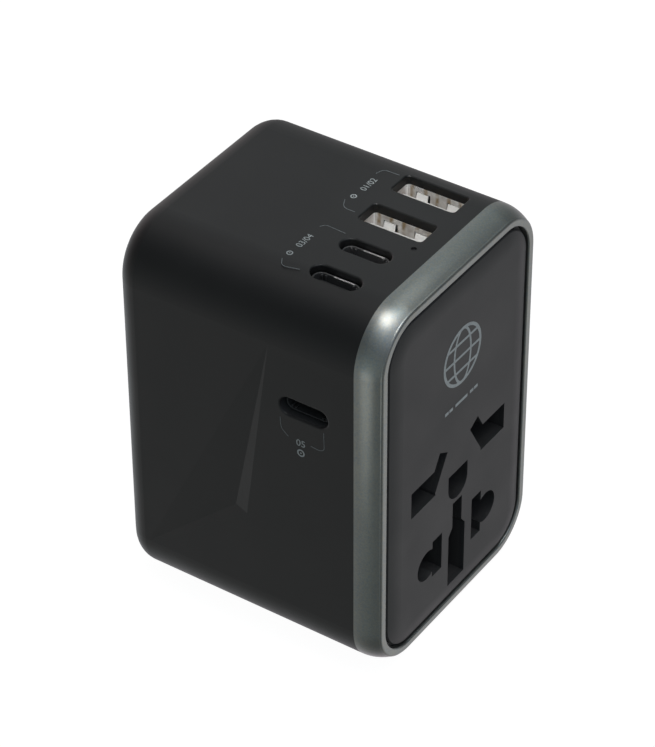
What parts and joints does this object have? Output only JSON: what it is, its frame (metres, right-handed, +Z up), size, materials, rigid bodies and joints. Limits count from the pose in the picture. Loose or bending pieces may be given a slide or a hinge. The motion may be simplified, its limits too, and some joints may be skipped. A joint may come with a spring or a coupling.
{
  "type": "universal travel adapter",
  "caption": "Pocket travel adapter: multi-standard mains socket in front, slide-out UK, EU and US/AU plug pins behind, and a USB charger with ports in the top and side.",
  "frame": {"origin": "centre of the flat underside the adapter stands on, midway between the socket plate and the plug face", "axes": "+X to the right when facing the socket, +Y from the socket face to the plug face, +Z up"},
  "size_m": [0.0496, 0.0538, 0.0758],
  "materials": {
    "bezel_paint": "metallic paint",
    "board": "solder mask",
    "brass": "bright",
    "can": "sleeved",
    "carriage_plastic": "satin",
    "chip": "moulded",
    "clear": "clear",
    "ferrite": "sintered",
    "frame_plastic": "satin",
    "glass": "clear",
    "gold": "gold flash",
    "housing_plastic": "fine matt",
    "knob_plastic": "satin",
    "lead": "insulated",
    "nickel": "nickel plate",
    "panel_plastic": "satin",
    "plate_plastic": "fine matt",
    "rear_plastic": "fine matt",
    "screw_steel": "blackened",
    "shutter_plastic": "satin",
    "sink": "mill",
    "sleeve_plastic": "satin",
    "socket_plastic": "satin",
    "steel": "plain",
    "white_plastic": "satin",
    "winding": "tape wrapped",
    "xcap": "moulded"
  },
  "bodies": {
    "case": {"main_housing": "housing_plastic", "bezel_ring": "bezel_paint", "face_plate": "plate_plastic", "socket_body": "socket_plastic", "contact_live": "brass", "contact_neutral": "brass", "contact_carrier": "frame_plastic", "front_screws": "steel", "slide_frame": "frame_plastic", "carrier_screws": "steel", "slider_panel": "panel_plastic", "detent_springs": "steel", "bus_bar_live": "brass", "bus_bar_neutral": "brass", "rear_cover": "rear_plastic", "rear_screws": "screw_steel", "fuse_clips": "brass", "main_pcb": "board", "pcb_screws": "steel", "pd_board": "board", "board_header": "chip", "usb_a_shells": "nickel", "usb_a_tongues": "white_plastic", "usb_a_contacts": "gold", "usb_c_shells": "nickel", "usb_c_tongues": "chip", "transformer_core": "ferrite", "transformer_winding": "winding", "bulk_capacitors": "can", "output_capacitors": "can", "x_capacitor": "xcap", "emi_choke": "ferrite", "power_chips": "chip", "heat_spreader": "sink", "status_led": "white_plastic", "light_pipe": "clear", "mains_leads": "lead", "shutter_springs": "steel"},
    "shutter": {"socket_shutter": "shutter_plastic"},
    "uk_set": {"uk_carriage": "carriage_plastic", "uk_pin_live": "nickel", "uk_pin_neutral": "nickel", "uk_pin_earth": "nickel", "uk_pin_sleeves": "sleeve_plastic", "uk_knob": "knob_plastic"},
    "eu_set": {"eu_carriage": "carriage_plastic", "eu_pin_live": "nickel", "eu_pin_neutral": "nickel", "eu_pin_sleeves": "sleeve_plastic", "eu_knob": "knob_plastic"},
    "us_set": {"us_carriage": "carriage_plastic", "us_wipers": "brass", "us_knob": "knob_plastic"},
    "us_left": {"us_blade_left": "nickel", "us_hub_left": "carriage_plastic"},
    "us_right": {"us_blade_right": "nickel", "us_hub_right": "carriage_plastic"},
    "fuse_set": {"fuse_drawer": "rear_plastic", "fuse_tube": "glass", "fuse_caps": "nickel"}
  },
  "joints": [
    {"name": "uk_slide", "type": "slide", "parent": "case", "child": "uk_set", "axis": [0, 1, 0], "range_m": [0, 0.0235]},
    {"name": "eu_slide", "type": "slide", "parent": "case", "child": "eu_set", "axis": [0, 1, 0], "range_m": [0, 0.0198]},
    {"name": "us_slide", "type": "slide", "parent": "case", "child": "us_set", "axis": [0, 1, 0], "range_m": [0, 0.0178]},
    {"name": "us_turn_left", "type": "hinge", "parent": "us_set", "child": "us_left", "pos_m": [-0.00635, 0, 0.0534], "axis": [0, 1, 0], "range_deg": [0, 30]},
    {"name": "us_turn_right", "type": "hinge", "parent": "us_set", "child": "us_right", "pos_m": [0.00635, 0, 0.0534], "axis": [0, 1, 0], "range_deg": [-30, 0]},
    {"name": "shutter_slide", "type": "slide", "parent": "case", "child": "shutter", "axis": [0, 0, -1], "range_m": [0, 0.0065], "deforming": ["shutter_springs"]},
    {"name": "fuse_slide", "type": "slide", "parent": "case", "child": "fuse_set", "axis": [0, 1, 0], "range_m": [0, 0.012]}
  ]
}
